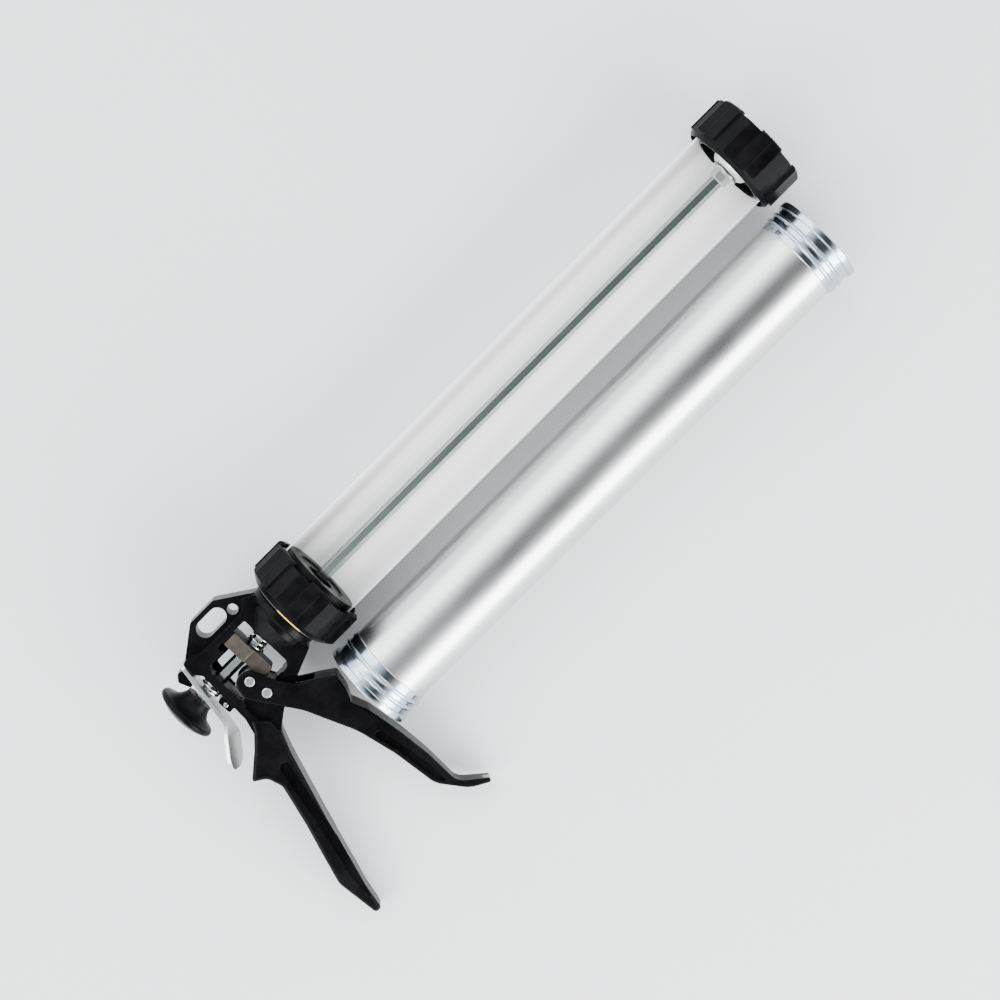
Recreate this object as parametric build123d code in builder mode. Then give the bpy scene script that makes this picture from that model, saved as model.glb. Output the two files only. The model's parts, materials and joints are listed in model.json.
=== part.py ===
from build123d import *

import os
from math import cos, radians, sin

# Skeleton caulking gun with a half-round cartridge cradle, and a spare closed barrel beside it.
# Everything is at rest on one surface. The gun lies on its side, on its rear collar, its front ring
# nut and the tip of its handle. Units are millimetres. +X runs forward along the barrel, +Y away
# from the handle and +Z up. Places along the gun are measured from the datum, near the front face of
# the rear collar. In the gun's own plane x runs forward, y away from the handle, and z to its side.

# ---- driving dimensions -------------------------------------------------------------------------
datum_x = -120.0        # the datum, from the middle of the whole length
axis_y = 63.8           # barrel axis, from the middle of the whole width
axis_height = 32.5     # barrel axis above the surface
roll = 8.7              # the frame's lean to its handle's side, until the handle's tip touches

trough_r = 25.9         # cradle, outside
sheet = 1.0             # its steel sheet
trough_rear, trough_front = -15.6, 351.0
thread_r = 28.2         # crest of the barrel threads
thread_depth = 1.1
thread_pitch = 4.6

nut_flat = 30.6         # ring nuts, centre to a low flat
nut_pad = 31.55         # centre to a raised pad
nut_pads = 6
nut_turn = 44.0         # direction of the first pad
nut_bore = 28.65        # clears the barrel threads
collar_rear, collar_front = -25.4, 1.0
front_nut_rear, front_nut_front = 334.0, 360.0

rod_af = 7.0            # hexagonal push rod, across flats
rod_rear, rod_front = -110.5, 326.4
thread_end_r, thread_end = 3.2, 349.0   # the rod's round threaded end, which holds the piston
nut_af = 10.0
rod_clear = 4.6         # radius of the holes that the rod slides through
piston_r = 23.2         # plastic piston, outside

web = 7.0               # half the thickness of the casting between the trigger's cheeks
shell = 11.0            # half the thickness of the casting round its window
grip = 11.5             # half the thickness of the handle
grip_tip = 7.4          # and of its tip
hanging_hole, hanging_hole_r = (-46.4, 24.2), 3.3
cheek_in, cheek_out = 7.4, 11.4
pivot = (-67.3, -24.1)
pusher = (-69.5, -12.3)
pin_r = 2.5
pin_head_r = 2.95
running = 0.05          # radial clearance of a pin that turns in its hole
cheek_recess_r = 14.6
floor_top, floor_foot = -10.6, -12.6     # plate that closes the window's far side, below the drive block

block_rear, block_front = -64.2, -55.1
block_top, block_foot = 14.5, -16.8
roller_r = 4.9

lever_top = (-90.7, 22.1)
lever_bend = (-98.6, -24.6)
lever_tip = (-114.5, -44.6)
lever_wide, lever_thick = 20.0, 2.2
catch_pin_place, catch_pin_r = (-89.8, -12.6), 1.5
lever_twist = 18.0      # the thumb paddle faces a little to the side

spare_r = 26.5          # closed barrel, outside
spare_bore = 25.0
spare_gap = 64.7        # between the two barrel axes, seen from above
spare_rear, spare_front = -25.2, 346.0
spare_ring = 20.0       # length of each end ring
spare_rim = 28.75       # shoulder of each end ring, on which the spare barrel lies

# ---- planes and axes ----------------------------------------------------------------------------
lean = radians(roll)
datum = Vector(datum_x, axis_y, axis_height)
gun = Plane(origin=datum, x_dir=(1, 0, 0), z_dir=(0, -sin(lean), cos(lean)))
barrel = Plane(origin=datum, x_dir=(1, 0, 0), z_dir=(0, 0, 1))
spare = Plane(
    origin=datum + Vector(0, -spare_gap, spare_rim - axis_height), x_dir=(1, 0, 0), z_dir=(0, 0, 1)
)
barrel_axis = Axis(datum, (1, 0, 0))
side_axis = Axis(datum, gun.z_dir)      # out of the gun's side
up_axis = Axis(datum, gun.y_dir)        # away from the handle
spare_axis = Axis(spare.origin, (1, 0, 0))


def across(base, x):
    """The plane across a barrel at x. Its own x is the base's y, and its own y the base's z."""
    return Plane(origin=base.from_local_coords((x, 0, 0)), x_dir=base.y_dir, z_dir=base.x_dir)


def outline(base, *corners):
    """A closed face through corners given as (x, y, rounding radius)."""
    with BuildSketch(base) as face:
        with BuildLine():
            Polyline(*[(x, y) for x, y, _ in corners], close=True)
        make_face()
        for x, y, radius in corners:
            if radius:
                fillet(face.vertices().sort_by_distance((x, y, 0))[0], radius)
    return face.sketch


def ring(x0, x1, r0, r1, base=barrel):
    """The section of a plain ring from x0 to x1, between radius r0 and r1."""
    return outline(base, (x0, r0, 0), (x1, r0, 0), (x1, r1, 0), (x0, r1, 0))


def disc(base, place, radius):
    """A round face on the base plane."""
    with BuildSketch(base) as face:
        with Locations(place):
            Circle(radius)
    return face.sketch


# ---- frame casting, with its handle -------------------------------------------------------------
crown = [(-89.4, 21.3, 1.0), (-69.7, 35.9, 2.0), (-50.8, 35.9, 2.0), (-31.2, 22.6, 0), (-31.2, -23.0, 0)]
rear_wall = [(-87.4, -26.0, 5), (-86.0, 9.1, 0), (-89.4, 14.0, 1.0)]
palm = [(-121.6, -136.0, 14), (-109.0, -96.9, 60), (-101.8, -70.0, 7)]
spur = [(-104.6, -60.6, 6), (-112.4, -55.6, 1.4), (-98.2, -43.7, 3), (-90.2, -35.8, 7)]
handle_front = [(-78.6, -47.0, 8), (-84.0, -60.5, 30), (-97.5, -102.3, 80), (-111.5, -148.6, 40)]
handle_tip = [(-115.0, -165.2, 2.4), (-119.6, -165.2, 2.4)]

with BuildPart() as frame_casting:
    # The handle, tapering in thickness to its tip, with a rounded edge all round.
    extrude(
        outline(gun, (-86.0, -28.0, 0), (-77.6, -38.0, 1.0), *handle_front, *handle_tip, *palm, *spur),
        amount=grip,
        both=True,
    )
    for side in (1, -1):
        with BuildSketch(across(gun, -80.0)) as taper:
            with BuildLine():
                Polyline(
                    (-118.0, side * (grip + 1)),
                    (-118.0, side * grip),
                    (-167.0, side * grip_tip),
                    (-167.0, side * (grip + 1)),
                    close=True,
                )
            make_face()
        extrude(taper.sketch, amount=-60.0, mode=Mode.SUBTRACT)
    fillet(edges().filter_by(lambda edge: abs(gun.to_local_coords(edge.center()).Z) > grip_tip - 0.5), 2.5)
    # Long pocket in each side of the handle, behind its rounded palm edge.
    for side in (1, -1):
        extrude(
            outline(
                gun.offset(side * (grip - 4.0)),
                (-87.6, -60.0, 3.0),
                (-94.8, -60.0, 3.0),
                (-102.6, -97.0, 20),
                (-113.6, -138.0, 8),
                (-114.4, -155.0, 1.0),
                (-112.0, -155.0, 1.0),
                (-101.0, -114.0, 30),
            ),
            amount=side * 8,
            mode=Mode.SUBTRACT,
        )
    # The middle web carries the pivot and the hanging tab.
    extrude(
        outline(
            gun,
            *crown,
            (-47.0, -29.7, 3.0),
            (-68.0, -38.6, 2.0),
            (-78.0, -46.0, 8),
            (-84.0, -60.5, 0),
            (-98.0, -60.5, 0),
            (-98.2, -43.7, 3),
            (-90.2, -35.8, 7),
            *rear_wall,
        ),
        amount=web,
        both=True,
    )
    # Thick border round the window.
    extrude(
        outline(
            gun,
            (-89.4, 21.3, 1.0),
            (-86.6, 23.0, 2.0),
            (-76.0, 19.0, 6.0),
            (-44.0, 19.0, 6.0),
            (-38.0, 24.8, 0),
            (-31.2, 21.8, 0),
            (-31.2, -23.0, 0),
            (-46.6, -29.3, 2.0),
            (-56.6, -21.0, 0),
            (-83.0, -21.0, 0),
            (-83.0, -44.0, 0),
            (-90.2, -35.8, 0),
            *rear_wall,
        ),
        amount=shell,
        both=True,
    )
    # Round recesses that the trigger's cheeks turn in.
    for side in (1, -1):
        extrude(disc(gun.offset(side * web), pivot, cheek_recess_r), amount=side * 8, mode=Mode.SUBTRACT)
    # Front hub: a cone, a flange for the swivel washer, a neck and the flange that holds the collar.
    revolve(
        outline(
            barrel,
            (-45.8, 3.0, 0),
            (-45.8, 12.5, 0),
            (-36.4, 18.8, 2.0),
            (-33.0, 18.8, 0),
            (-32.0, 22.4, 0.8),
            (-27.2, 22.4, 0.8),
            (-27.2, 20.2, 0),
            (-21.6, 20.2, 0),
            (-21.6, 25.0, 0),
            (-17.0, 25.0, 0.8),
            (-17.0, 3.0, 0),
        ),
        axis=barrel_axis,
    )
    # Hook that the release lever hangs on, and the neck that joins it to the casting.
    extrude(
        outline(
            gun,
            (-93.1, 19.4, 0.8),
            (-96.6, 20.2, 2.0),
            (-100.2, 16.2, 2.0),
            (-97.2, 8.8, 0.8),
            (-95.4, 9.2, 0.4),
        ),
        amount=5.0,
        both=True,
    )
    extrude(
        outline(gun, (-96.0, 12.2, 0), (-84.0, 12.2, 0), (-84.0, 17.6, 0), (-96.0, 17.6, 0)),
        amount=3.4,
        both=True,
    )
    # Window for the drive block, and the two hanging holes.
    extrude(
        outline(
            gun,
            (-81.4, -18.0, 2.0),
            (-81.4, 6.6, 1.0),
            (-78.6, 10.6, 1.2),
            (-68.4, 10.6, 0),
            (-68.4, block_top + 0.5, 0),
            (-45.8, block_top + 0.5, 1.2),
            (-45.8, -22.0, 4.5),
            (-59.0, -22.0, 1.0),
            (-61.0, -18.0, 1.0),
        ),
        amount=2 * shell,
        both=True,
        mode=Mode.SUBTRACT,
    )
    # Floor of the window, with an opening behind the drive block and two in front of it.
    floor_plane = gun.offset(floor_top)
    window_floor = outline(
        floor_plane,
        (-84.0, -19.0, 0),
        (-84.0, 9.0, 0),
        (-70.0, 16.6, 0),
        (-43.5, 16.6, 0),
        (-43.5, -23.5, 0),
        (-60.0, -23.5, 0),
    )
    behind_block = [(-78.1, 7.4, 1), (-79.6, -1.0, 0), (-80.8, -9.3, 1), (-78.4, -10.3, 1), (-66.0, -10.6, 0)]
    above_spring = [(-50.8, 1.8, 0.8), (-49.2, 11.6, 1), (-50.4, 14.0, 1), (-59.0, 14.0, 1), (-59.0, 5.8, 1)]
    below_spring = [(-57.6, -10.4, 1), (-54.1, -7.1, 1), (-47.2, -6.4, 1), (-47.2, -18.6, 2), (-50.6, -21.6, 1)]
    for opening in (
        [*behind_block, (-60.4, -3.6, 1), (-63.4, 7.4, 1)],
        above_spring,
        [*below_spring, (-58.3, -21.6, 0)],
    ):
        window_floor -= outline(floor_plane, *opening)
    window_floor -= disc(floor_plane, pivot, cheek_recess_r + 4.8)
    extrude(window_floor, amount=floor_foot - floor_top)
    with BuildSketch(gun) as hanging_slot:
        with Locations((-60.7, 27.4)):
            SlotOverall(20.8, 10.8)
    extrude(hanging_slot.sketch, amount=2 * shell, both=True, mode=Mode.SUBTRACT)
    extrude(disc(gun, hanging_hole, hanging_hole_r), amount=2 * shell, both=True, mode=Mode.SUBTRACT)
    # Bores for the rod, its drive spring and the pivot.
    extrude(disc(across(gun, -100), (0, 0), rod_clear), amount=90, mode=Mode.SUBTRACT)
    extrude(disc(across(gun, -46.5), (0, 0), 6.7), amount=9.0, mode=Mode.SUBTRACT)
    extrude(disc(gun, pivot, pin_r), amount=2 * shell, both=True, mode=Mode.SUBTRACT)

frame_casting.part.label = "frame_casting"

# ---- trigger, its rivets and its roller ---------------------------------------------------------
def is_finger_edge(place):
    """True for the long side edges of the trigger's finger part."""
    near = gun.to_local_coords(place)
    return near.Y < -64.5 and abs(near.Z) > 5.0


with BuildPart() as trigger:
    extrude(
        outline(
            gun,
            (-76.6, -4.9, 6.5),
            (-65.6, -6.4, 6.0),
            (-58.6, -22.2, 20),
            (-51.4, -32.9, 12),
            (-39.5, -40.5, 12),
            (-31.8, -46.0, 2.0),
            (-34.4, -57.5, 2.5),
            (-37.6, -63.4, 2.5),
            (-33.6, -74.0, 6),
            (-30.2, -96.1, 60),
            (-28.4, -118.0, 60),
            (-28.6, -142.6, 10),
            (-13.4, -155.6, 1.4),
            (-15.2, -157.6, 1.4),
            (-26.4, -151.2, 20),
            (-38.6, -134.0, 16),
            (-41.8, -104.0, 60),
            (-47.2, -78.0, 60),
            (-60.1, -46.9, 40),
            (-79.2, -17.6, 6.0),
        ),
        amount=cheek_out,
        both=True,
    )
    # Slot between the cheeks for the frame's web, open at the top, the front and the rear.
    extrude(
        outline(
            gun,
            (-90.0, 4.0, 0),
            (-42.0, 4.0, 0),
            (-42.0, -38.0, 0),
            (-53.0, -46.0, 3),
            (-58.5, -60.0, 3),
            (-72.0, -60.0, 0),
            (-90.0, -40.0, 0),
        ),
        amount=cheek_in,
        both=True,
        mode=Mode.SUBTRACT,
    )
    # The finger part narrows towards its tip, and has a shallow pocket in each side.
    for side in (1, -1):
        with BuildSketch(across(gun, -70.0)) as side_cut:
            with BuildLine():
                Polyline(
                    (-64.0, side * 12.5),
                    (-64.0, side * cheek_out),
                    (-162.0, side * 6.2),
                    (-162.0, side * 12.5),
                    close=True,
                )
            make_face()
        extrude(side_cut.sketch, amount=70.0, mode=Mode.SUBTRACT)
    fillet(edges().filter_by(lambda edge: is_finger_edge(edge.center())), 1.2)
    for side in (1, -1):
        extrude(
            outline(
                gun.offset(side * 6.0),
                (-37.0, -88.0, 2.5),
                (-44.0, -84.0, 2.5),
                (-39.2, -104.0, 30),
                (-36.4, -133.0, 8),
                (-32.2, -140.4, 1.2),
                (-32.2, -122.0, 20),
            ),
            amount=side * 8,
            mode=Mode.SUBTRACT,
        )
    extrude(disc(gun, pivot, pin_r + running), amount=cheek_out, both=True, mode=Mode.SUBTRACT)
    extrude(disc(gun, pusher, pin_r), amount=cheek_out, both=True, mode=Mode.SUBTRACT)

trigger.part.label = "trigger"


def rivet(place, shank_r):
    """Add a rivet through both cheeks, with a low bevelled head on each side."""
    extrude(disc(gun, place, shank_r), amount=cheek_out + 0.2, both=True)
    for side in (1, -1):
        head = disc(gun.offset(side * (cheek_out + 0.1)), place, pin_head_r)
        extrude(head, amount=side * 1.1)
    chamfer(edges().group_by(side_axis)[0] + edges().group_by(side_axis)[-1], 0.4)


with BuildPart() as pivot_rivet:
    rivet(pivot, pin_r)

pivot_rivet.part.label = "pivot_rivet"

with BuildPart() as pusher_rivet:
    rivet(pusher, pin_r)

pusher_rivet.part.label = "pusher_rivet"

with BuildPart() as pusher_roller:
    extrude(disc(gun, pusher, roller_r), amount=cheek_in - 0.2, both=True)
    extrude(disc(gun, pusher, pin_r + running), amount=cheek_in, both=True, mode=Mode.SUBTRACT)
    chamfer(edges().filter_by(GeomType.CIRCLE).group_by(SortBy.RADIUS)[-1], 0.4)

pusher_roller.part.label = "pusher_roller"

# ---- drive block and its spring -----------------------------------------------------------------
with BuildPart() as drive_block:
    extrude(
        outline(
            gun,
            (block_rear, -2.2, 0),
            (block_front, -2.2, 0),
            (block_front, block_top, 0),
            (block_rear, block_top, 0),
        ),
        amount=10.0,
        both=True,
    )
    chamfer(edges().filter_by(Axis.X).group_by(up_axis)[0], 1.2)
    fillet(edges().filter_by(Axis.X).group_by(up_axis)[-1], 2.0)
    extrude(
        outline(
            gun,
            (block_rear, block_foot, 1.2),
            (block_front, block_foot, 1.2),
            (block_front, 0, 0),
            (block_rear, 0, 0),
        ),
        amount=6.6,
        both=True,
    )
    extrude(disc(across(gun, block_rear - 1), (0, 0), rod_clear), amount=12.0, mode=Mode.SUBTRACT)

drive_block.part.label = "drive_block"


def coil(x0, x1, coil_r, wire_r, turns):
    """Add a helical spring of round wire round the rod, between x0 and x1."""
    seat = gun.from_local_coords((x0 + wire_r, 0, 0))
    height = x1 - x0 - 2 * wire_r
    with BuildLine() as path:
        Helix(pitch=height / turns, height=height, radius=coil_r, center=seat, direction=gun.x_dir)
    with BuildSketch(Plane(origin=path.line @ 0, z_dir=path.line % 0)) as wire:
        Circle(wire_r)
    sweep(wire.sketch, path=path.line, is_frenet=True)


with BuildPart() as drive_spring:
    coil(block_front + 0.3, -37.6, 5.3, 0.65, 5)

drive_spring.part.label = "drive_spring"

# ---- push rod, knob and piston ------------------------------------------------------------------
with BuildPart() as push_rod:
    with BuildSketch(across(barrel, rod_rear)) as hexagon:
        RegularPolygon(radius=rod_af / 2, side_count=6, major_radius=False)
    extrude(hexagon.sketch, amount=rod_front - rod_rear)
    extrude(disc(across(barrel, rod_front), (0, 0), thread_end_r), amount=thread_end - rod_front)
    chamfer(edges().group_by(Axis.X)[-1], 0.5)

push_rod.part.label = "push_rod"

with BuildPart() as pull_knob:
    with BuildSketch(barrel) as knob_half:
        with BuildLine():
            rear_face = ThreePointArc((-116.6, 0), (-115.6, 9.8), (-112.4, 18.0))
            rim = ThreePointArc((-112.4, 18.0), (-110.4, 19.2), (-108.6, 17.9))
            ThreePointArc(rim @ 1, (-105.4, 11.6), (-100.6, 8.9))
            Polyline((-100.6, 8.9), (-99.1, 8.6), (-99.1, 0), (-116.6, 0))
        make_face()
    revolve(knob_half.sketch, axis=barrel_axis)
    with BuildSketch(across(barrel, rod_rear)) as socket:
        RegularPolygon(radius=rod_af / 2, side_count=6, major_radius=False)
    extrude(socket.sketch, amount=20.0, mode=Mode.SUBTRACT)

pull_knob.part.label = "pull_knob"


def hex_nut(x0, x1):
    """Add a hexagon nut on the rod's threaded end, with both faces bevelled."""
    with BuildSketch(across(barrel, x0)) as section:
        RegularPolygon(radius=nut_af / 2, side_count=6, major_radius=False)
        Circle(thread_end_r, mode=Mode.SUBTRACT)
    extrude(section.sketch, amount=x1 - x0)
    corner = nut_af / 2 / cos(radians(30))
    revolve(
        outline(
            barrel,
            (x0, 0, 0),
            (x0, corner - 0.7, 0),
            (x0 + 0.5, corner + 0.1, 0),
            (x1 - 0.5, corner + 0.1, 0),
            (x1, corner - 0.7, 0),
            (x1, 0, 0),
        ),
        axis=barrel_axis,
        mode=Mode.INTERSECT,
    )


with BuildPart() as piston_lock_nut:
    hex_nut(326.4, 332.2)

piston_lock_nut.part.label = "piston_lock_nut"

with BuildPart() as piston_washer:
    revolve(ring(332.2, 333.3, thread_end_r, 8.6), axis=barrel_axis)

piston_washer.part.label = "piston_washer"

with BuildPart() as piston_dome:
    with BuildSketch(barrel) as dome_half:
        with BuildLine():
            ThreePointArc((333.3, 5.0), (335.4, 10.6), (340.0, 13.2))
            Polyline(
                (340.0, 13.2), (341.0, 13.2), (341.0, thread_end_r), (333.3, thread_end_r), (333.3, 5.0)
            )
        make_face()
    revolve(dome_half.sketch, axis=barrel_axis)

piston_dome.part.label = "piston_dome"

with BuildPart() as piston_cup:
    # A plastic cup, open to the rear, with the dome washer inside it and a recess for the front nut.
    revolve(
        outline(
            barrel,
            (341.0, thread_end_r, 0),
            (341.0, 15.0, 1.0),
            (339.6, piston_r - 2.0, 1.0),
            (335.0, piston_r - 1.6, 0.4),
            (335.0, piston_r, 0.6),
            (349.4, piston_r, 0.8),
            (349.4, piston_r - 3.0, 0.4),
            (344.4, 12.0, 1.0),
            (343.2, 11.0, 0),
            (343.2, thread_end_r, 0),
        ),
        axis=barrel_axis,
    )

piston_cup.part.label = "piston_cup"

with BuildPart() as piston_front_nut:
    hex_nut(343.2, 347.8)

piston_front_nut.part.label = "piston_front_nut"

# ---- release lever, its spring and the catch ----------------------------------------------------
top, bend, tip = [gun.from_local_coords((x, y, 0)) for x, y in (lever_top, lever_bend, lever_tip)]
down = (bend - top).normalized()
back = (tip - bend).normalized()
paddle_side = gun.z_dir.rotate(Axis((0, 0, 0), back), lever_twist)
bend_run = 5.0          # the plate turns from blade to paddle over this length


def lever_section(place, side, direction):
    """The plate's cross-section at a place: its width lies along side, and it runs in direction."""
    with BuildSketch(Plane(origin=place, x_dir=side, z_dir=direction)) as section:
        Rectangle(lever_wide, lever_thick)
    return section.sketch


with BuildPart() as release_lever:
    blade_end = bend - down * bend_run
    paddle_start = bend + back * bend_run
    extrude(lever_section(top, gun.z_dir, down), amount=(blade_end - top).length)
    loft([lever_section(blade_end, gun.z_dir, down), lever_section(paddle_start, paddle_side, back)])
    extrude(lever_section(paddle_start, paddle_side, back), amount=(tip - paddle_start).length)
    through_blade = Axis(top, down.cross(gun.z_dir))
    through_paddle = Axis(tip, back.cross(paddle_side))
    fillet(edges().filter_by(through_blade).group_by(Axis(top, down))[0], 3.0)
    fillet(edges().filter_by(through_paddle).group_by(Axis(tip, back))[-1], 8.0)
    # Window for the hook, and the rod's hole.
    face_on = Plane(origin=top, x_dir=gun.z_dir, z_dir=gun.z_dir.cross(down))
    extrude(
        outline(face_on, (-4.6, 2.0, 1.0), (4.6, 2.0, 1.0), (4.6, 11.2, 1.0), (-4.6, 11.2, 1.0)),
        amount=4.0,
        both=True,
        mode=Mode.SUBTRACT,
    )
    extrude(disc(across(gun, -105.0), (0, 0), rod_clear + 0.4), amount=16.0, mode=Mode.SUBTRACT)

release_lever.part.label = "release_lever"

with BuildPart() as release_spring:
    coil(-92.0, -86.8, 6.1, 0.8, 2)

release_spring.part.label = "release_spring"

with BuildPart() as catch_block:
    extrude(
        outline(gun, (-92.0, -17.4, 1.0), (-87.5, -17.4, 0), (-86.9, -7.8, 0), (-92.0, -7.8, 1.6)),
        amount=7.0,
        both=True,
    )
    extrude(disc(gun, catch_pin_place, catch_pin_r), amount=8.0, both=True, mode=Mode.SUBTRACT)

catch_block.part.label = "catch_block"

with BuildPart() as catch_pin:
    extrude(disc(gun, catch_pin_place, catch_pin_r), amount=8.4, both=True)
    chamfer(edges().filter_by(GeomType.CIRCLE), 0.3)

catch_pin.part.label = "catch_pin"

# ---- ring nuts ----------------------------------------------------------------------------------


def ring_nut(rear, front, rear_bevel, front_bevel, pad_rear, pad_front):
    """Add a twelve-sided nut's solid outside: low flats with a raised pad on every second one."""
    with BuildSketch(across(barrel, rear)) as flats:
        RegularPolygon(radius=nut_flat, side_count=2 * nut_pads, major_radius=False, rotation=nut_turn)
    extrude(flats.sketch, amount=front - rear)
    rim = nut_pad + 1.5
    with BuildSketch(across(barrel, pad_rear)) as pads:
        with PolarLocations(nut_pad - 2.0, nut_pads, start_angle=nut_turn):
            Rectangle(4.0, 15.6)
    extrude(pads.sketch, amount=pad_front - pad_rear)
    revolve(
        outline(
            barrel,
            (rear, 0, 0),
            (rear, rim - rear_bevel[1], 0),
            (rear + rear_bevel[0], rim, 0),
            (pad_front - front_bevel[0], rim, 0),
            (pad_front, rim - front_bevel[1], 0),
            (pad_front, 0, 0),
        ),
        axis=barrel_axis,
        mode=Mode.INTERSECT,
    )


with BuildPart() as rear_collar:
    ring_nut(collar_rear, collar_front - 2.2, (5.0, 6.6), (2.0, 2.4), collar_rear + 1.0, collar_front)
    revolve(ring(collar_rear - 1, collar_front + 1, 0, 20.6), axis=barrel_axis, mode=Mode.SUBTRACT)
    revolve(ring(-21.9, collar_front + 1, 20.0, nut_bore), axis=barrel_axis, mode=Mode.SUBTRACT)

rear_collar.part.label = "rear_collar"

with BuildPart() as front_ring_nut:
    ring_nut(front_nut_rear, front_nut_front, (4.5, 4.6), (2.0, 2.4), 338.0, front_nut_front + 1.4)
    revolve(ring(front_nut_rear - 1, 356.3, 0, nut_bore), axis=barrel_axis, mode=Mode.SUBTRACT)
    revolve(ring(356.0, front_nut_front + 3, 0, 23.5), axis=barrel_axis, mode=Mode.SUBTRACT)

front_ring_nut.part.label = "front_ring_nut"

with BuildPart() as swivel_washer:
    revolve(ring(-26.5, -25.5, 20.3, 23.8), axis=barrel_axis)

swivel_washer.part.label = "swivel_washer"

# ---- cradle -------------------------------------------------------------------------------------
with BuildPart() as cradle_trough:
    with BuildSketch(across(barrel, trough_rear)) as half_round:
        Circle(trough_r)
        Circle(trough_r - sheet, mode=Mode.SUBTRACT)
        with Locations((0, trough_r / 2 + 0.8)):
            Rectangle(2 * trough_r + 1, trough_r, mode=Mode.SUBTRACT)
    extrude(half_round.sketch, amount=trough_front - trough_rear)

cradle_trough.part.label = "cradle_trough"


def threads(x0, x1, crest):
    """Sections of rounded thread grooves, evenly spaced between x0 and x1."""
    count = int((x1 - x0) / thread_pitch)
    first = (x0 + x1 - (count - 1) * thread_pitch) / 2
    return [(first + turn * thread_pitch, crest) for turn in range(count)]


def grooved_ring(x0, x1, bore, crest, base, axis, groove_rear, groove_front):
    """Add a ring with rounded thread grooves round its outside."""
    revolve(ring(x0, x1, bore, crest, base), axis=axis)
    for x, radius in threads(groove_rear, groove_front, crest):
        groove = outline(
            base,
            (x - 1.5, radius + 0.5, 0),
            (x - 0.7, radius - thread_depth, 0.5),
            (x + 0.7, radius - thread_depth, 0.5),
            (x + 1.5, radius + 0.5, 0),
        )
        revolve(groove, axis=axis, mode=Mode.SUBTRACT)


with BuildPart() as barrel_rear_ring:
    grooved_ring(-16.4, -1.5, trough_r, thread_r, barrel, barrel_axis, -15.4, -2.5)
    revolve(ring(-16.4, trough_rear, 23.6, trough_r + 0.1), axis=barrel_axis)
    revolve(ring(-16.4, 2.9, 23.6, trough_r - sheet), axis=barrel_axis)
    # Its front wall, which the rod passes through, with a rounded rim.
    revolve(
        outline(
            barrel,
            (-2.0, 9.0, 0),
            (-2.0, 24.0, 0),
            (2.9, trough_r - sheet, 0.9),
            (2.9, 17.0, 0.6),
            (1.7, 16.4, 0.6),
            (1.7, 9.0, 0.5),
        ),
        axis=barrel_axis,
    )

barrel_rear_ring.part.label = "barrel_rear_ring"

with BuildPart() as barrel_front_ring:
    grooved_ring(337.0, 352.6, trough_r, thread_r, barrel, barrel_axis, 338.0, 351.6)
    revolve(ring(trough_front, 352.6, 23.6, trough_r + 0.1), axis=barrel_axis)

barrel_front_ring.part.label = "barrel_front_ring"

with BuildPart() as front_plate:
    revolve(ring(353.2, 355.6, 12.5, 28.2), axis=barrel_axis)

front_plate.part.label = "front_plate"

# ---- spare closed barrel ------------------------------------------------------------------------
with BuildPart() as spare_tube:
    revolve(ring(spare_rear + 1.2, spare_front - 1.2, spare_bore, spare_r, spare), axis=spare_axis)

spare_tube.part.label = "spare_tube"


def end_ring(outer, inner):
    """Add the threaded ring at one end of the spare barrel, from its outer face to its inner end."""
    inward = 1 if inner > outer else -1
    low, high = sorted((outer, inner))
    groove_low, groove_high = sorted((outer + inward * 4.6, inner))
    grooved_ring(low, high, spare_r, thread_r, spare, spare_axis, groove_low, groove_high)
    shoulder = outer + inward * 4.4
    revolve(
        outline(
            spare,
            (outer, spare_r, 0),
            (outer, spare_rim, 0.7),
            (shoulder, spare_rim, 0.4),
            (shoulder, spare_r, 0),
        ),
        axis=spare_axis,
    )
    low, high = sorted((outer, outer + inward * 1.2))
    revolve(ring(low, high, spare_bore, spare_r + 0.1, spare), axis=spare_axis)


with BuildPart() as spare_rear_ring:
    end_ring(spare_rear, spare_rear + spare_ring)

spare_rear_ring.part.label = "spare_rear_ring"

with BuildPart() as spare_front_ring:
    end_ring(spare_front, spare_front - spare_ring)

spare_front_ring.part.label = "spare_front_ring"

# ---- write every piece --------------------------------------------------------------------------
os.makedirs("parts", exist_ok=True)
export_step(frame_casting.part, "parts/frame_casting.step")
export_step(pivot_rivet.part, "parts/pivot_rivet.step")
export_step(swivel_washer.part, "parts/swivel_washer.step")
export_step(catch_block.part, "parts/catch_block.step")
export_step(catch_pin.part, "parts/catch_pin.step")
export_step(trigger.part, "parts/trigger.step")
export_step(pusher_rivet.part, "parts/pusher_rivet.step")
export_step(pusher_roller.part, "parts/pusher_roller.step")
export_step(drive_block.part, "parts/drive_block.step")
export_step(drive_spring.part, "parts/drive_spring.step")
export_step(push_rod.part, "parts/push_rod.step")
export_step(pull_knob.part, "parts/pull_knob.step")
export_step(piston_lock_nut.part, "parts/piston_lock_nut.step")
export_step(piston_washer.part, "parts/piston_washer.step")
export_step(piston_dome.part, "parts/piston_dome.step")
export_step(piston_cup.part, "parts/piston_cup.step")
export_step(piston_front_nut.part, "parts/piston_front_nut.step")
export_step(release_lever.part, "parts/release_lever.step")
export_step(release_spring.part, "parts/release_spring.step")
export_step(rear_collar.part, "parts/rear_collar.step")
export_step(front_ring_nut.part, "parts/front_ring_nut.step")
export_step(front_plate.part, "parts/front_plate.step")
export_step(cradle_trough.part, "parts/cradle_trough.step")
export_step(barrel_rear_ring.part, "parts/barrel_rear_ring.step")
export_step(barrel_front_ring.part, "parts/barrel_front_ring.step")
export_step(spare_tube.part, "parts/spare_tube.step")
export_step(spare_rear_ring.part, "parts/spare_rear_ring.step")
export_step(spare_front_ring.part, "parts/spare_front_ring.step")
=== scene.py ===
import json
import math

import bmesh
import bpy
from mathutils import Matrix, Vector


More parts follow.
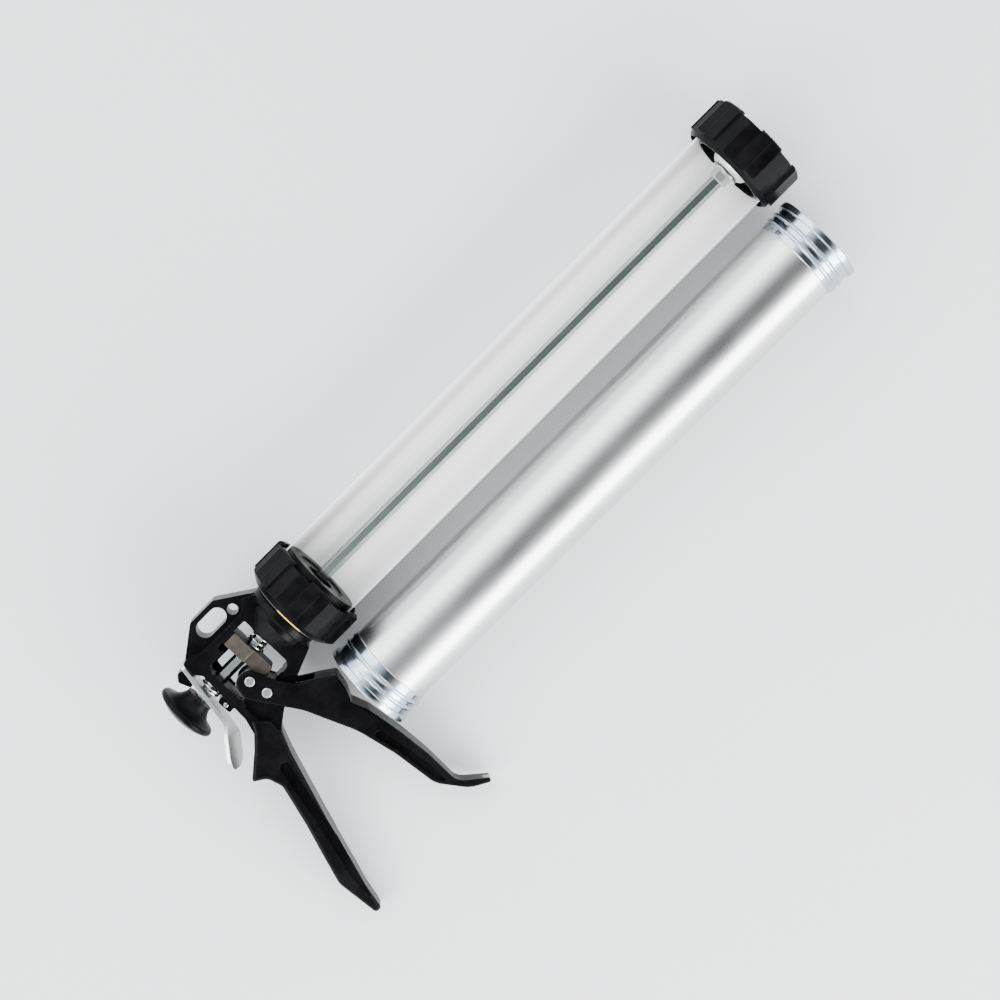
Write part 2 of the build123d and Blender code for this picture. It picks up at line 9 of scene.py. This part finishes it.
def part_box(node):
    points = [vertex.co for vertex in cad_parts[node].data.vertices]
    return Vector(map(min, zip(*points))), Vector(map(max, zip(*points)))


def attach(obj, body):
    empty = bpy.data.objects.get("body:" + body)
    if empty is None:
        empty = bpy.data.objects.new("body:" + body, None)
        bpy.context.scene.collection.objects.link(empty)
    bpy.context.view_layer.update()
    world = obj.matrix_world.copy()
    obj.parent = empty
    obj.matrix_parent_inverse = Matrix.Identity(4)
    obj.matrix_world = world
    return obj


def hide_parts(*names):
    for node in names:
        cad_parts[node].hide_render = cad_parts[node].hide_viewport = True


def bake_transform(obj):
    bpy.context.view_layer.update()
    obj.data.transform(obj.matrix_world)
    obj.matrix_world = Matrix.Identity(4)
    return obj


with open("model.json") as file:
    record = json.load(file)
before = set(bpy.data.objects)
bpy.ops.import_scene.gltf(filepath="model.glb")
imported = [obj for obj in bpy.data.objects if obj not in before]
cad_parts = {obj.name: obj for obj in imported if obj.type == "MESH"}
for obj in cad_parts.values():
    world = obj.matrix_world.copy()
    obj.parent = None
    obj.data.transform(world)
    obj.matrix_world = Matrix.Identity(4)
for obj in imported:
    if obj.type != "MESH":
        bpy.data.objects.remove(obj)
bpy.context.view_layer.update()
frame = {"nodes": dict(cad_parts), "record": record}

MM = 0.001
TROUGH_OVERHANG = 15.6 * MM     # how far the cradle reaches behind the datum, the rear end of its opening
rod_low, rod_high = [Vector(corner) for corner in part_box("push_rod")]
trough_low = Vector(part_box("cradle_trough")[0])
tube_low, tube_high = [Vector(corner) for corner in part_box("spare_tube")]
AXIS = (rod_low + rod_high) / 2                       # a point on the gun's barrel axis
DATUM = Vector((trough_low.x + TROUGH_OVERHANG, AXIS.y, AXIS.z))
SPARE = (tube_low + tube_high) / 2                    # a point on the spare barrel's axis


# ---- materials --------------------------------------------------------------------------------------
class Nodes:
    """A short way to build one material's node tree."""

    def __init__(self, name):
        self.material = bpy.data.materials.new(name)
        self.material.use_nodes = True
        self.tree = self.material.node_tree
        self.shader = self.tree.nodes["Principled BSDF"]
        self.coords = self.add("ShaderNodeTexCoord").outputs["Object"]

    def add(self, kind, inputs=None, **settings):
        made = self.tree.nodes.new(kind)
        for key, value in settings.items():
            setattr(made, key, value)
        for key, value in (inputs or {}).items():
            self.put(made.inputs[key], value)
        return made

    def put(self, socket, value):
        """Sets a socket to a number or colour, or links it to another socket."""
        if isinstance(value, bpy.types.NodeSocket):
            self.tree.links.new(value, socket)
        else:
            socket.default_value = value

    def noise(self, scale, stretch=(1, 1, 1), detail=4.0, roughness=0.55):
        """Noise in the object's own coordinates, in features per metre."""
        mapping = self.add("ShaderNodeMapping", {"Vector": self.coords, "Scale": stretch})
        texture = self.add(
            "ShaderNodeTexNoise",
            {"Vector": mapping.outputs[0], "Scale": scale, "Detail": detail, "Roughness": roughness},
        )
        return texture.outputs["Fac"]

    def span(self, value, low, high, to_low, to_high):
        """Maps low..high to to_low..to_high, clamped."""
        inputs = {"Value": value, "From Min": low, "From Max": high, "To Min": to_low, "To Max": to_high}
        return self.add("ShaderNodeMapRange", inputs).outputs[0]

    def mix(self, factor, first, second):
        """Mixes two colours."""
        made = self.add("ShaderNodeMix", data_type="RGBA")
        self.put(made.inputs[0], factor)
        self.put(made.inputs[6], first if isinstance(first, bpy.types.NodeSocket) else (*first, 1.0))
        self.put(made.inputs[7], second if isinstance(second, bpy.types.NodeSocket) else (*second, 1.0))
        return made.outputs[2]

    def math(self, operation, first, second):
        made = self.add("ShaderNodeMath", operation=operation)
        self.put(made.inputs[0], first)
        self.put(made.inputs[1], second)
        return made.outputs[0]

    def rounded(self, radius):
        """The surface normal with its edges rounded."""
        return self.add("ShaderNodeBevel", {"Radius": radius}, samples=6).outputs[0]

    def edges(self, radius, low, high):
        """1 on sharp edges and 0 on flat surfaces."""
        sharp = self.add("ShaderNodeNewGeometry").outputs["Normal"]
        dot = self.add("ShaderNodeVectorMath", operation="DOT_PRODUCT")
        self.put(dot.inputs[0], self.rounded(radius))
        self.put(dot.inputs[1], sharp)
        return self.span(dot.outputs["Value"], low, high, 1.0, 0.0)

    def bump(self, height, distance, normal, strength=1.0):
        inputs = {"Height": height, "Distance": distance, "Strength": strength, "Normal": normal}
        return self.add("ShaderNodeBump", inputs).outputs[0]

    def finish(self, **sockets):
        for key, value in sockets.items():
            if isinstance(value, tuple):
                value = (*value, 1.0)
            self.put(self.shader.inputs[key.replace("_", " ")], value)
        return self.material


def enamel(name, tip=None):
    """Gloss black enamel over cast metal, with orange peel, dust, and paler edges that are partly rubbed wear
    and partly a painted highlight.
    """
    n = Nodes(name)
    peel = n.noise(420, detail=3)
    dust = n.noise(60, detail=6, roughness=0.7)
    # Paler edges: partly rubbed wear, partly a painted highlight along the edges.
    rubbed_and_highlight = n.math("MULTIPLY", n.edges(0.5 * MM, 0.80, 0.985), n.span(n.noise(240), 0.42, 0.7, 0.0, 1.0))
    base = n.mix(n.span(dust, 0.35, 0.75, 0.0, 1.0), (0.0016, 0.0016, 0.0018), (0.0045, 0.0045, 0.0048))
    base = n.mix(n.math("MULTIPLY", rubbed_and_highlight, 0.3), base, (0.03, 0.029, 0.027))
    rough = n.span(dust, 0.3, 0.75, 0.2, 0.34)
    metallic = 0.0
    if tip:
        # Enamel worn through to bare metal near one point.
        place = n.add("ShaderNodeVectorMath", operation="DISTANCE")
        n.put(place.inputs[0], n.coords)
        place.inputs[1].default_value = tip
        ragged = n.span(n.noise(700, detail=5), 0.3, 0.7, -1.6 * MM, 1.6 * MM)
        bare = n.span(n.math("ADD", place.outputs["Value"], ragged), 2.6 * MM, 3.6 * MM, 1.0, 0.0)
        base = n.mix(bare, base, (0.33, 0.28, 0.22))
        metallic = n.math("MULTIPLY", bare, 0.9)
    return n.finish(
        Base_Color=base,
        Metallic=metallic,
        Roughness=rough,
        Specular_IOR_Level=0.055,
        Normal=n.bump(peel, 0.05 * MM, n.rounded(0.55 * MM), 0.35),
    )


def moulded_black(name, grain=1500, low=0.24, high=0.4):
    """Black moulded plastic with a fine grain, and paler edges that are partly rubbed wear and partly a
    painted highlight.
    """
    n = Nodes(name)
    fine = n.noise(grain, detail=3)
    cloud = n.noise(70, detail=5)
    # Paler edges: partly rubbed wear, partly a painted highlight along the edges.
    rubbed_and_highlight = n.math("MULTIPLY", n.edges(0.5 * MM, 0.80, 0.985), n.span(n.noise(320), 0.38, 0.7, 0.0, 1.0))
    base = n.mix(n.span(cloud, 0.35, 0.7, 0.0, 1.0), (0.0016, 0.0016, 0.0018), (0.0045, 0.0045, 0.005))
    base = n.mix(n.math("MULTIPLY", rubbed_and_highlight, 0.35), base, (0.03, 0.03, 0.031))
    return n.finish(
        Base_Color=base,
        Roughness=n.span(cloud, 0.3, 0.75, low, high),
        Specular_IOR_Level=0.045,
        Normal=n.bump(fine, 0.02 * MM, n.rounded(0.6 * MM), 0.4),
    )


def zinc(name, pale, dull, low=0.16, high=0.36):
    """Bright zinc plate: mottled, with fine scratches, and paler edges that are partly worn and partly a
    painted highlight.
    """
    n = Nodes(name)
    mottle = n.noise(190, detail=6, roughness=0.65)
    scratch = n.noise(900, detail=4)
    base = n.mix(n.span(mottle, 0.32, 0.7, 0.0, 1.0), dull, pale)
    # Paler edges: partly wear, partly a painted highlight along every sharp edge.
    worn_and_highlight = n.math("MULTIPLY", n.edges(0.35 * MM, 0.85, 0.99), 0.4)
    base = n.mix(worn_and_highlight, base, (0.86, 0.87, 0.85))
    return n.finish(
        Base_Color=base,
        Metallic=1.0,
        Roughness=n.span(mottle, 0.3, 0.7, high, low),
        Normal=n.bump(scratch, 0.01 * MM, n.rounded(0.3 * MM), 0.35),
    )


def drawn_bar(name):
    """Plated drawn steel bar, with lines along its length."""
    n = Nodes(name)
    lines = n.noise(1.0, stretch=(14, 2600, 2600), detail=5)
    mottle = n.noise(90, stretch=(0.25, 1, 1), detail=5)
    base = n.mix(n.span(mottle, 0.35, 0.7, 0.0, 1.0), (0.34, 0.39, 0.385), (0.5, 0.55, 0.53))
    base = n.mix(n.span(lines, 0.45, 0.7, 0.0, 0.35), base, (0.3, 0.33, 0.33))
    return n.finish(
        Base_Color=base,
        Metallic=1.0,
        Roughness=n.span(lines, 0.3, 0.7, 0.1, 0.2),
        Normal=n.bump(lines, 0.015 * MM, n.rounded(0.25 * MM), 0.4),
    )


def satin_tube(name, pale, dull, low, high, metallic=1.0):
    """Satin anodised tube: faint lines along its length and a fine etched grain."""
    n = Nodes(name)
    lines = n.noise(1.0, stretch=(5, 900, 900), detail=4)
    grain = n.noise(2400, detail=2)
    cloud = n.noise(22, stretch=(0.5, 1, 1), detail=5)
    base = n.mix(n.span(cloud, 0.3, 0.72, 0.0, 1.0), dull, pale)
    base = n.mix(n.span(lines, 0.5, 0.75, 0.0, 0.2), base, tuple(0.85 * part for part in dull))
    height = n.math("ADD", n.math("MULTIPLY", lines, 0.6), n.math("MULTIPLY", grain, 0.5))
    return n.finish(
        Base_Color=base,
        Metallic=metallic,
        Roughness=n.span(n.math("ADD", cloud, n.math("MULTIPLY", grain, 0.4)), 0.4, 0.95, low, high),
        Normal=n.bump(height, 0.012 * MM, n.rounded(0.3 * MM), 0.35),
    )


def sintered(name):
    """Sintered steel with a warm tint: granular, with small dark pores, and its forward faces painted near
    black as shade.
    """
    n = Nodes(name)
    grain = n.noise(1300, detail=5, roughness=0.7)
    stain = n.noise(160, detail=4)
    base = n.mix(n.span(stain, 0.3, 0.7, 0.0, 1.0), (0.046, 0.039, 0.031), (0.08, 0.069, 0.056))
    base = n.mix(n.span(grain, 0.3, 0.42, 0.6, 0.0), base, (0.02, 0.017, 0.014))
    normal = n.add("ShaderNodeNewGeometry").outputs["Normal"]
    forward = n.add("ShaderNodeSeparateXYZ", {"Vector": normal}).outputs["X"]
    # Faces turned forward are painted near black: painted shade standing in for the shadow on the block's
    # front face.
    painted_front_shade = n.math("MULTIPLY", n.span(forward, 0.4, 0.8, 0.0, 1.0), n.span(stain, 0.2, 0.5, 0.85, 1.0))
    base = n.mix(painted_front_shade, base, (0.006, 0.0055, 0.005))
    return n.finish(
        Base_Color=base,
        Metallic=0.7,
        Roughness=n.span(grain, 0.3, 0.7, 0.34, 0.55),
        Normal=n.bump(grain, 0.03 * MM, n.rounded(0.35 * MM), 0.5),
    )


def yellow_plastic(name, lit_place):
    """Yellow plastic, painted near black as shade more than a few millimetres from one lit place."""
    n = Nodes(name)
    cloud = n.noise(140, detail=4)
    place = n.add("ShaderNodeVectorMath", operation="DISTANCE")
    n.put(place.inputs[0], n.coords)
    place.inputs[1].default_value = lit_place
    ragged_boundary = n.span(n.noise(300), 0.3, 0.7, -1.5 * MM, 1.5 * MM)
    lit_mask = n.span(n.math("ADD", place.outputs["Value"], ragged_boundary), 8.0 * MM, 10.0 * MM, 1.0, 0.0)
    base = n.mix(n.span(cloud, 0.3, 0.7, 0.0, 1.0), (0.72, 0.55, 0.1), (0.86, 0.7, 0.18))
    # Away from the lit place the washer is painted near black: painted shade between the hub and the collar.
    base = n.mix(lit_mask, (0.012, 0.011, 0.009), base)
    return n.finish(
        Base_Color=base,
        Roughness=n.span(cloud, 0.3, 0.7, 0.4, 0.55),
        Normal=n.bump(n.noise(1500), 0.02 * MM, n.rounded(0.3 * MM), 0.4),
    )


trigger_low, trigger_high = [Vector(corner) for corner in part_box("trigger")]
TRIGGER_TIP = Vector((trigger_high.x, trigger_low.y, trigger_low.z)) + Vector((-1.2, 2.4, 7.5)) * MM

LIT_ARC = DATUM + Vector((-26.0, -5.5, 23.0)) * MM      # the lit place on top of the swivel washer, left yellow; the rest of the washer is painted shade

looks = {
    "casting_black": enamel("casting_enamel"),
    "trigger_black": enamel("trigger_enamel", TRIGGER_TIP),
    "nut_black": moulded_black("nut_plastic"),
    "end_ring_black": moulded_black("end_ring_plastic", low=0.3, high=0.42),
    "piston_black": moulded_black("piston_plastic", low=0.2, high=0.32),
    "knob_black": moulded_black("knob_plastic", grain=900, low=0.28, high=0.4),
    "zinc_plate": zinc("zinc_plate", (0.7, 0.73, 0.7), (0.6, 0.64, 0.62), low=0.26, high=0.36),
    "ring_zinc": zinc("ring_zinc", (0.52, 0.59, 0.65), (0.32, 0.39, 0.45), low=0.1, high=0.26),
    "spring_steel": zinc("spring_wire", (0.7, 0.7, 0.67), (0.5, 0.5, 0.48)),
    "rod_steel": drawn_bar("rod_bar"),
    "block_bronze": sintered("sintered_block"),
    "washer_yellow": yellow_plastic("yellow_plastic", LIT_ARC),
    "cradle_silver": satin_tube(
        "cradle_satin", (0.975, 0.975, 0.955), (0.94, 0.94, 0.92), 0.4, 0.5, metallic=0.3
    ),
    "barrel_aluminium": satin_tube("barrel_satin", (0.66, 0.665, 0.66), (0.58, 0.585, 0.58), 0.24, 0.34),
}
for subpart in frame["record"]["subparts"]:
    node = frame["nodes"][subpart["node"]]
    node.data.materials.clear()
    node.data.materials.append(looks[subpart["material_slot"]])


# ---- threaded end rings of the spare barrel ---------------------------------------------------------
RING_LONG = 20.0 * MM
SHOULDER_LONG, SHOULDER_R, SHOULDER_ROUND = 4.4 * MM, 28.75 * MM, 0.7 * MM
ROOT_R, CREST_R = 27.15 * MM, 28.2 * MM
THREAD_PITCH, THREAD_HALF_WIDE = 4.9 * MM, 1.25 * MM
THREAD_START, THREAD_TURNS, THREAD_RUNOUT = 8.0 * MM, 1.9, 0.16     # run-out at each end, in turns
TUBE_R, BORE_R, LIP_LONG = 26.5 * MM, 25.0 * MM, 1.2 * MM


def thread_height(depth, angle, first_angle):
    """How far a rounded helical thread stands up at a depth from the outer face, from 0 to 1."""
    best = 0.0
    turn = ((angle - first_angle) / (2 * math.pi)) % 1.0
    while turn <= THREAD_TURNS:
        off = abs(depth - THREAD_START - turn * THREAD_PITCH) / THREAD_HALF_WIDE
        if off < 1.0:
            ends = min(1.0, turn / THREAD_RUNOUT, (THREAD_TURNS - turn) / THREAD_RUNOUT)
            best = max(best, (1.0 - off * off) ** 0.75 * math.sin(ends * math.pi / 2))
        turn += 1.0
    return best


def outside_radius(depth, angle, first_angle):
    """The ring's outside: a rounded shoulder, then a neck with the thread on it."""
    if depth < SHOULDER_LONG:
        near = min(depth, SHOULDER_LONG - depth)
        cut = max(0.0, SHOULDER_ROUND - near)
        return SHOULDER_R - SHOULDER_ROUND + math.sqrt(SHOULDER_ROUND ** 2 - cut ** 2)
    end = max(0.0, depth - (RING_LONG - 0.5 * MM))
    return ROOT_R - end * 0.8 + (CREST_R - ROOT_R) * thread_height(depth, angle, first_angle)


def sharpen(mesh, degrees):
    """Smooth shading, with edges sharper than an angle kept crisp."""
    work = bmesh.new()
    work.from_mesh(mesh)
    bmesh.ops.recalc_face_normals(work, faces=work.faces)
    for face in work.faces:
        face.smooth = True
    for edge in work.edges:
        if len(edge.link_faces) == 2 and edge.calc_face_angle() > math.radians(degrees):
            edge.smooth = False
    work.to_mesh(mesh)
    work.free()


def turned(name, centre, rows, material):
    """A closed solid round the X axis through centre. Each row is (x, [radius at each angle])."""
    around = len(rows[0][1])
    points = []
    for x, radii in rows:
        for step, radius in enumerate(radii):
            angle = 2 * math.pi * step / around
            points.append((x, centre.y + radius * math.cos(angle), centre.z + radius * math.sin(angle)))
    faces = []
    for row in range(len(rows)):
        below = (row + 1) % len(rows)
        for step in range(around):
            ahead = (step + 1) % around
            faces.append(
                (row * around + step, row * around + ahead, below * around + ahead, below * around + step)
            )
    mesh = bpy.data.meshes.new(name)
    mesh.from_pydata(points, [], faces)
    sharpen(mesh, 38)
    mesh.materials.append(material)
    made = bpy.data.objects.new(name, mesh)
    bpy.context.collection.objects.link(made)
    return made


def threaded_ring(name, node, outer_x, inward, first_angle):
    around = 192
    angles = [2 * math.pi * step / around for step in range(around)]
    depths = [0.0, 0.12 * MM, 0.3 * MM, 0.7 * MM, 2.2 * MM, 3.7 * MM, 4.1 * MM, 4.28 * MM, 4.399 * MM]
    depths += [4.4 * MM + step * 0.26 * MM for step in range(60)]
    depths += [RING_LONG]
    rows = [
        (outer_x + inward * depth, [outside_radius(depth, angle, first_angle) for angle in angles])
        for depth in depths
    ]
    for depth, radius in (
        (RING_LONG, TUBE_R),
        (LIP_LONG, TUBE_R),
        (LIP_LONG, BORE_R),
        (0.0, BORE_R),
    ):
        rows.append((outer_x + inward * depth, [radius] * around))
    ring = turned(name, SPARE, rows, looks["ring_zinc"])
    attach(ring, "spare_barrel")
    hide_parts(node)


front_ring_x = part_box("spare_front_ring")[1][0]
rear_ring_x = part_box("spare_rear_ring")[0][0]
threaded_ring("front_thread_ring", "spare_front_ring", front_ring_x, -1, math.radians(300))
threaded_ring("rear_thread_ring", "spare_rear_ring", rear_ring_x, 1, math.radians(60))


# ---- springs copied in place of the CAD springs ------------------------------------------------------
def pushed_spring(name, node):
    """A copy of a spring, baked in place, with the spring it copies hidden."""
    source = frame["nodes"][node]
    spring = bpy.data.objects.new(name, source.data.copy())
    bpy.context.collection.objects.link(spring)
    spring.matrix_world = source.matrix_world.copy()
    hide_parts(node)
    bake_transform(spring)


pushed_spring("drive_coil", "drive_spring")
pushed_spring("release_coil", "release_spring")


# ---- floor, lights and camera -----------------------------------------------------------------------
def floor_material():
    n = Nodes("floor_paper")
    cloud = n.noise(3, detail=4)
    base = n.mix(n.span(cloud, 0.3, 0.7, 0.0, 1.0), (0.72, 0.73, 0.74), (0.74, 0.75, 0.76))
    return n.finish(Base_Color=base, Roughness=n.span(cloud, 0.3, 0.7, 0.85, 0.95))


floor_mesh = bpy.data.meshes.new("floor")
reach = 4.0
floor_mesh.from_pydata(
    [(-reach, -reach, 0), (reach, -reach, 0), (reach, reach, 0), (-reach, reach, 0)], [], [(0, 1, 2, 3)]
)
floor_mesh.materials.append(floor_material())
floor = bpy.data.objects.new("floor", floor_mesh)
bpy.context.collection.objects.link(floor)

world = bpy.data.worlds.new("studio")
world.use_nodes = True
background = world.node_tree.nodes["Background"]
# A bright room with a dark patch overhead, which the metal shows as dark bands.
sky = world.node_tree.nodes.new("ShaderNodeTexCoord").outputs["Generated"]
toward = world.node_tree.nodes.new("ShaderNodeVectorMath")
toward.operation = "DOT_PRODUCT"
toward.inputs[1].default_value = Vector((0.1, -0.3, 0.95)).normalized()
shade = world.node_tree.nodes.new("ShaderNodeMapRange")
shade.inputs["From Min"].default_value = 0.72
shade.inputs["From Max"].default_value = 0.96
shade.inputs["To Min"].default_value = 3.0
shade.inputs["To Max"].default_value = 0.05
world.node_tree.links.new(sky, toward.inputs[0])
world.node_tree.links.new(toward.outputs["Value"], shade.inputs["Value"])
world.node_tree.links.new(shade.outputs[0], background.inputs["Strength"])
background.inputs["Color"].default_value = (0.94, 0.96, 1.0, 1.0)
bpy.context.scene.world = world


def softbox(name, place, target, width, height, watts):
    """A large soft light at a place, turned to a target."""
    data = bpy.data.lights.new(name, "AREA")
    data.shape = "RECTANGLE"
    data.size = width
    data.size_y = height
    data.energy = watts
    lamp = bpy.data.objects.new(name, data)
    lamp.location = place
    lamp.rotation_euler = (Vector(target) - Vector(place)).to_track_quat("-Z", "Y").to_euler()
    bpy.context.collection.objects.link(lamp)


softbox("far_softbox", (-0.1, 1.2, 1.2), (0, 0, 0.02), 2.0, 1.2, 22)
softbox("key_softbox", (0.0, -1.5, 0.6), (0, 0, 0.02), 2.2, 0.9, 85)
softbox("rear_softbox", (-1.5, 0.1, 0.9), (-0.1, 0, 0.02), 0.9, 0.9, 20)

# The camera looks down on the gun, turned so that the barrels run up to the right.
EYE = DATUM + Vector((0.171, -0.042, 1.209))
AIM = DATUM + Vector((0.108, -0.042, 0.0))
backward = (EYE - AIM).normalized()
right = Vector((1, 1, 0)).cross(backward).normalized()
up = backward.cross(right)
camera_data = bpy.data.cameras.new("camera")
camera_data.sensor_width = 36.0
camera_data.lens = 74.9
camera_data.clip_start = 0.05
camera = bpy.data.objects.new("camera", camera_data)
turn = Matrix((right, up, backward)).transposed()
camera.matrix_world = Matrix.Translation(EYE) @ turn.to_4x4()
bpy.context.collection.objects.link(camera)
bpy.context.scene.camera = camera
